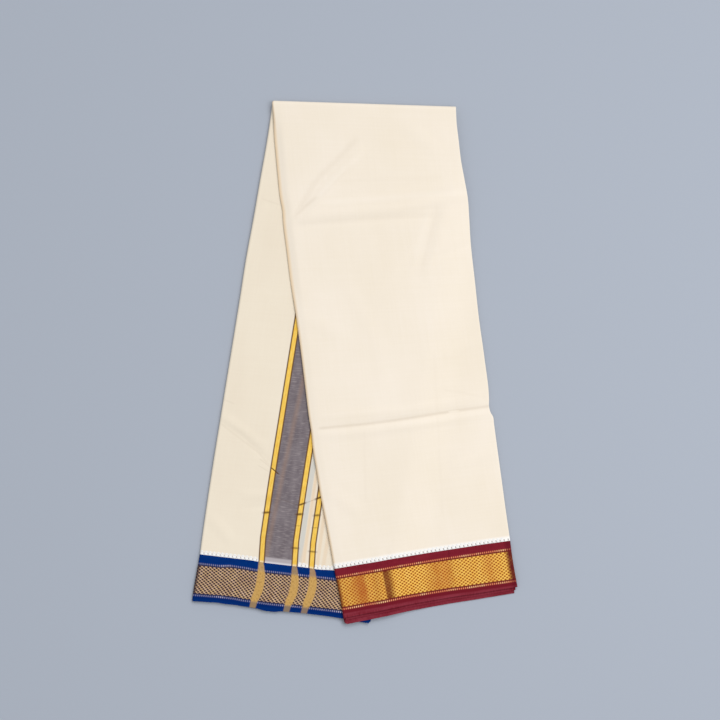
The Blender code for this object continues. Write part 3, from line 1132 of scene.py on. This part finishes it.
# A table of (place, amount) as a smooth curve of a value, in the same units
def curveOf(value, table):
    curve = addNode(value.id_data, "ShaderNodeFloatCurve")
    last = table[-1][0]
    top = max(amount for place, amount in table)
    points = curve.mapping.curves[0].points
    while len(points) < len(table):
        points.new(0.5, 0.5)
    for point, (place, amount) in zip(points, table):
        point.location = (place / last, amount / top)
    curve.mapping.update()
    feed(curve, Value=calc("DIVIDE", value, last))
    return times(curve.outputs[0], top)


# Gold weft stripes run down through the border below the end panel
def addWeftStripes(color, clothMap, x, below):
    place = calc("MULTIPLY_ADD", x, 1 / mm, leftMiddle / mm)
    grain = noiseAt(clothMap, weftStripes["grainWaves"])
    grainShade = ramp(grain, *weftStripes["grainShade"])
    halfWidth = curveOf(below, weftStripes["halfWidths"])
    ragged = calc("MULTIPLY_ADD", grain, weftStripes["ragged"], -weftStripes["ragged"] / 2)
    soft = weftStripes["soft"]
    overLattice = ramp(below, *weftStripes["latticeFrom"])
    overSelvage = ramp(below, *weftStripes["selvageFrom"])
    stripes = zip(band["goldCentres"], weftStripes["bows"], weftStripes["overGround"],
                  weftStripes["overSelvage"])
    for centre, bowTable, groundColor, selvageColor in stripes:
        stripe = blendColor(overLattice, groundColor, weftStripes["overLattice"])
        stripe = blendColor(grainShade, stripe, weftStripes["shade"])
        stripe = blendColor(overSelvage, stripe, selvageColor)
        bow = calc("ADD", curveOf(below, bowTable), centre)
        aside = calc("ABSOLUTE", minus(place, bow))
        inside = minus(calc("ADD", aside, ragged), halfWidth)
        covering = ramp(inside, -soft, soft, weftStripes["cover"], 0.0)
        color = blendColor(covering, color, stripe)
    return color


# The plain cotton of a border, shaded where the plies above end
def borderGround(clothMap, look, below, fromLeft, shadowEnds):
    wear = noiseAt(clothMap, border["wearWaves"], 4.0)
    threads = noiseAt(clothMap, border["threadWaves"])
    tone = ramp(calc("ADD", wear, threads), *border["wear"])
    inSelvage = ramp(below, *border["selvageFrom"])
    color = blendColor(inSelvage, look["ground"], look["selvage"])
    deepLine = zone(below, *border["deepLine"], 0.8)
    color = blendColor(deepLine, color, look["groundDeep"])
    color = blendColor(tone, color, look["groundDeep"])
    for left, right in shadowEnds:
        plyEnd = calc("MULTIPLY_ADD", fromLeft, (right - left) / (panelWidth / mm), left)
        past = minus(below, plyEnd)
        fading = ramp(past, *border["plyShadow"], border["plyShadowDepth"], 0.0)
        shadow = times(ramp(past, -0.4, 0.0), fading)
        color = blendColor(shadow, color, look["side"])
    return color


# Diamond lattice of bright threads round dark cells: where the cells are, and its colour
def diamondLattice(clothMap, look, along, y):
    alongPitch, acrossPitch = border["latticePitch"]
    column = calc("DIVIDE", along, alongPitch / mm)
    row = calc("DIVIDE", y, acrossPitch)
    share, soft = look["cellShare"], border["latticeSoft"]
    offFirst = repeats(minus(column, row), 1.0, share, soft)
    offSecond = repeats(calc("ADD", column, row), 1.0, share, soft)
    cell = times(offFirst, offSecond)
    warmTone = mottled(clothMap, border["warmTone"])
    thread = blendColor(warmTone, look["thread"], look["threadWarm"])
    # Painted shine mottles the threads, and the second set of threads is deeper
    shineAndTone = mottled(clothMap, border["shineAndTone"], 4.0)
    shineAndTone = calc("MULTIPLY_ADD", offFirst, look["secondDeep"], shineAndTone)
    thread = blendColor(shineAndTone, thread, look["threadDeep"])
    return cell, blendColor(cell, thread, look["cell"])


# Painted shade: the lattice darkens at the folded sides, and where the cloth creases
def addShadeBands(color, clothMap, look, fromLeft, bands):
    patchy = mottled(clothMap, border["patches"])
    for start, fullFrom, fullTo, end, depth, toneName in bands:
        dullShade = calc("MINIMUM", ramp(fromLeft, start, fullFrom, 0.0, depth),
                    ramp(fromLeft, fullTo, end, depth, 0.0))
        color = blendColor(times(dullShade, patchy), color, look[toneName])
    return color


# Dark lines above and below the lattice, and a dotted line beyond each
def addBorderLines(color, clothMap, look, along, below):
    for start, end in look["darkLines"]:
        color = blendColor(zone(below, start, end, 0.4), color, look["line"])
    # Painted glints brighten some dots
    glint = mottled(clothMap, border["glint"])
    dotColor = blendColor(glint, look["dots"], look["bright"])
    spaced = repeats(along, border["dotPitch"], border["dotShare"], border["dotSoft"])
    for start, end in look["dottedLines"]:
        dots = times(spaced, zone(below, start, end, 0.5))
        color = blendColor(dots, color, dotColor)
    return color


# Painted shade at the tuck and along the right side
def addSideShade(color, look, fromLeft, below):
    aside = calc("ABSOLUTE", minus(fromLeft, sideShade["tuckPlace"]))
    latticeTop = look["lattice"][0]
    aboveLattice = ramp(below, latticeTop - 0.5, latticeTop + 0.5, 1.0, 0.0)
    nearTuck = ramp(aside, *sideShade["tuckWidths"], sideShade["tuckDepth"], 0.0)
    color = blendColor(times(nearTuck, aboveLattice), color, look["side"])
    atRight = ramp(fromLeft, *sideShade["rightFrom"], 0.0, sideShade["rightDepth"])
    return blendColor(atRight, color, look["side"])


def borderMaterial(name, look, creased=False, stripes=False, shadowEnds=()):
    material, shader, clothMap, x, y = startMaterial(name, border["roughness"],
                                                     border["specular"])
    below = calc("DIVIDE", y, mm)
    fromLeft = fromLeftEdge(x)
    along = calc("DIVIDE", x, mm)
    if stripes:
        along = minus(along, curveOf(below, weftStripes["bows"][0]))
    color = borderGround(clothMap, look, below, fromLeft, shadowEnds)
    cell, lattice = diamondLattice(clothMap, look, along, y)
    bands = shadeBands if creased else shadeBands[:1]
    lattice = addShadeBands(lattice, clothMap, look, fromLeft, bands)
    inLattice = zone(below, *look["lattice"], 0.4)
    color = blendColor(inLattice, color, lattice)
    color = addBorderLines(color, clothMap, look, along, below)
    if creased:
        color = addSideShade(color, look, fromLeft, below)
    if stripes:
        color = addWeftStripes(color, clothMap, x, below)
    metal = times(minus(1.0, cell), inLattice)
    connect(color, shader.inputs["Base Color"])
    roughness = ramp(metal, 0.0, 1.0, border["roughness"], border["metalRoughness"])
    feed(shader, Metallic=times(metal, border["metal"]), Roughness=roughness)
    threads = crossed(clothMap, weave["threadWaves"])
    height = calc("MULTIPLY_ADD", metal, border["metalRise"], threads)
    setBump(shader, height, border["bump"])
    return material


def plainMaterial(name, color, roughness):
    material = bpy.data.materials.new(name)
    material.use_nodes = True
    shader = material.node_tree.nodes["Principled BSDF"]
    shader.inputs["Base Color"].default_value = shown(color)
    shader.inputs["Roughness"].default_value = roughness
    shader.inputs["Specular IOR Level"].default_value = cottonSpecular
    return material


stitchInputs = ("Pitch", "Length", "Width", "Height")


# Beads set along a path and turned with it
def stitchTree(material):
    tree = bpy.data.node_groups.new("stitches along a seam", "GeometryNodeTree")
    interface = tree.interface
    interface.new_socket("Geometry", in_out="INPUT", socket_type="NodeSocketGeometry")
    for name in stitchInputs:
        socket = interface.new_socket(name, in_out="INPUT", socket_type="NodeSocketFloat")
        socket.default_value = 1 * mm
    interface.new_socket("Geometry", in_out="OUTPUT", socket_type="NodeSocketGeometry")
    source = tree.nodes.new("NodeGroupInput").outputs
    path = addNode(tree, "GeometryNodeMeshToCurve", source["Geometry"])
    spaced = addNode(tree, "GeometryNodeResampleCurve", mode="LENGTH")
    feed(spaced, Curve=path.outputs[0], Length=source["Pitch"])
    tangent = tree.nodes.new("GeometryNodeInputTangent")
    turned = addNode(tree, "FunctionNodeAlignRotationToVector", axis="X")
    feed(turned, Vector=tangent.outputs[0])
    bead = tree.nodes.new("GeometryNodeMeshUVSphere")
    feed(bead, Segments=8, Rings=5, Radius=0.5)
    size = addNode(tree, "ShaderNodeCombineXYZ", *(source[name] for name in stitchInputs[1:]))
    placed = tree.nodes.new("GeometryNodeInstanceOnPoints")
    feed(placed, Points=spaced.outputs[0], Instance=bead.outputs["Mesh"],
         Rotation=turned.outputs[0], Scale=size.outputs[0])
    real = addNode(tree, "GeometryNodeRealizeInstances", placed.outputs[0])
    smoothed = addNode(tree, "GeometryNodeSetShadeSmooth", real.outputs[0])
    finish = tree.nodes.new("GeometryNodeSetMaterial")
    feed(finish, Geometry=smoothed.outputs[0], Material=material)
    addNode(tree, "NodeGroupOutput", finish.outputs[0])
    return tree


def setInput(modifier, name, value):
    for item in modifier.node_group.interface.items_tree:
        if item.in_out == "INPUT" and item.name == name:
            modifier[item.identifier] = value


# The line of beads from one number to another, at a height above the seam
def seamPath(half, ply, rise, first, last):
    placePoint = frontPoint if half is frontHalf else backPoint
    distance = half.length - rise
    start, pitch = ladderStitches["start"], ladderStitches["pitch"]
    points = []
    for across in evenSteps(start + first * pitch, start + last * pitch, pitch / 2):
        corner = Corner(0.0, across, depthOf(ply), levelOf(ply), across, 1)
        point = placePoint(corner, distance)[0]
        point.z += strip["coverThickness"] / 2
        points.append(point)
    return points


def stitchRun(name, points, pitch, size, tree):
    data = bpy.data.meshes.new(name)
    data.from_pydata(points, [(i, i + 1) for i in range(len(points) - 1)], [])
    piece = bpy.data.objects.new(name, data)
    bpy.context.scene.collection.objects.link(piece)
    modifier = piece.modifiers.new("stitches", "NODES")
    modifier.node_group = tree
    for key, value in zip(stitchInputs, (pitch, *size)):
        setInput(modifier, key, value)
    applyModifiers(piece)
    return piece


def joined(name, pieces):
    whole = bmesh.new()
    for piece in pieces:
        whole.from_mesh(piece.data)
    material = pieces[0].data.materials[0]
    data = bpy.data.meshes.new(name)
    whole.to_mesh(data)
    whole.free()
    data.materials.append(material)
    data.shade_smooth()
    for piece in pieces:
        bpy.data.objects.remove(piece, do_unlink=True)
    result = bpy.data.objects.new(name, data)
    bpy.context.scene.collection.objects.link(result)
    return result


def makeStitches():
    sizes = ladderStitches
    material = plainMaterial("whiteStitch", sizes["color"], sizes["roughness"])
    tree = stitchTree(material)
    runs = []
    stretches = [(frontHalf, topPly, *run) for run in sizes["frontRuns"]]
    stretches += [(backHalf, bottomPly, *run) for run in sizes["backRuns"]]
    for half, ply, first, last in stretches:
        for kind in ("float", "bead"):
            points = seamPath(half, ply, sizes[kind + "Rise"], first, last)
            runs.append(stitchRun("stitches", points, sizes["pitch"], sizes[kind + "Size"], tree))
    return joined("ladderStitches", runs)


def makeCamera():
    centreX, centreY = view["centre"]
    data = bpy.data.cameras.new("camera")
    data.sensor_width = 36.0
    distance = view["height"] - view["clothHeight"]
    data.angle = 2 * math.atan(view["fieldWidth"] / 2 / distance)
    data.clip_end = 20.0
    camera = bpy.data.objects.new("camera", data)
    camera.location = (centreX, centreY, view["height"])
    bpy.context.scene.collection.objects.link(camera)
    bpy.context.scene.camera = camera


studio = {
    "worldColor": (0.98, 0.99, 1.0),
    "worldStrength": 0.6,
    "keyFrom": (0.35, 0.85, 1.0),  # a far soft light, from beyond the top fold and its right
    "keyStrength": 1.15,
    "keyAngle": 28,  # degrees, how large it looks from the cloth
    "fillPlace": (1.15, 0.1, 1.9),  # a nearer one at the right
    "fillSize": 1.2,
    "fillPower": 17.0,
    "floorColor": (170, 177, 189), "floorRoughness": 0.9,
    "floorSize": 6.0,
}


def makeStudio():
    scene = bpy.context.scene
    scene.view_settings.view_transform = "Standard"
    world = bpy.data.worlds.new("studio")
    world.use_nodes = True
    background = world.node_tree.nodes["Background"]
    background.inputs[0].default_value = (*studio["worldColor"], 1.0)
    background.inputs[1].default_value = studio["worldStrength"]
    scene.world = world
    key = bpy.data.lights.new("key", "SUN")
    key.energy = studio["keyStrength"]
    key.angle = math.radians(studio["keyAngle"])
    fill = bpy.data.lights.new("fill", "AREA")
    fill.shape = "SQUARE"
    fill.size = studio["fillSize"]
    fill.energy = studio["fillPower"]
    for light, place in ((key, studio["keyFrom"]), (fill, studio["fillPlace"])):
        lamp = bpy.data.objects.new(light.name, light)
        lamp.location = place
        lamp.rotation_euler = (-Vector(place)).to_track_quat("-Z", "Y").to_euler()
        scene.collection.objects.link(lamp)
    half = studio["floorSize"] / 2
    data = bpy.data.meshes.new("floor")
    data.from_pydata([(-half, -half, 0), (half, -half, 0), (half, half, 0), (-half, half, 0)], [],
                     [(0, 1, 2, 3)])
    paint = plainMaterial("floorPaint", studio["floorColor"], studio["floorRoughness"])
    data.materials.append(paint)
    floor = bpy.data.objects.new("floor", data)
    scene.collection.objects.link(floor)


def finishSheet(piece, node):
    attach(piece, "root")
    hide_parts(node)


makeCamera()
makeStudio()
print("camera and studio ready")

coverStations = stripStations(mesh["fineStep"], mesh["coarseStep"], foldAxis - depthOf(topPly))
panelStations = stripStations(mesh["coarseStep"], mesh["fineStep"], foldAxis - depthOf(bottomPly))
innerStations = stripStations(mesh["innerStep"], mesh["innerStep"], foldAxis / 2)
fineCover = coverCorners(mesh["fineColumns"], mesh["sideSteps"])
finePanel = panelCorners(mesh["fineColumns"], mesh["sideSteps"])
inner = innerCorners(mesh["innerColumns"], mesh["innerSideSteps"])

ivory = coverMaterial("ivoryCotton", coverStations[-1].along, creased=True)
frontCover = stripSheet("frontCover", fineCover, coverStations, strip["coverThickness"], ivory)
print("front cover ready")

panelCloth = panelMaterial("endPanelCotton", panelStations[-1].along)
endPanel = stripSheet("endPanel", finePanel, panelStations, strip["coverThickness"], panelCloth,
                      fromEnd=True)
print("end panel ready")

innerIvory = coverMaterial("innerCotton", innerStations[-1].along)
innerPlies = stripSheet("innerPlies", inner, innerStations, strip["innerThickness"], innerIvory)
print("inner plies ready")

wholeBand = finePanel[::-1] + fineCover[1:]
maroonCloth = borderMaterial("maroonZari", maroonLook, creased=True)
maroonInner = borderMaterial("maroonZariLayers", maroonLook, creased=True,
                             shadowEnds=maroonEnds[:2])
blueCloth = borderMaterial("blueZari", blueLook, stripes=True)
maroonBorder = bandSheet("maroonBorder", frontHalf, wholeBand, mesh["bandRows"],
                         strip["coverThickness"], maroonCloth)
maroonPlies = bandSheet("maroonPlies", frontHalf, inner, mesh["innerBandRows"],
                        strip["innerThickness"], maroonInner)
blueBorder = bandSheet("blueBorder", backHalf, wholeBand, mesh["bandRows"],
                       strip["coverThickness"], blueCloth)
bluePlies = bandSheet("bluePlies", backHalf, inner, mesh["innerBandRows"],
                      strip["innerThickness"], blueCloth)
print("borders ready")

stitches = makeStitches()
print("ladder stitches ready")

finishSheet(frontCover, "front_cover")
finishSheet(endPanel, "end_panel")
finishSheet(innerPlies, "hidden_layers")
finishSheet(maroonBorder, "maroon_border")
finishSheet(maroonPlies, "maroon_border_layers")
finishSheet(blueBorder, "blue_border")
finishSheet(bluePlies, "blue_border_layers")
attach(stitches, "root")
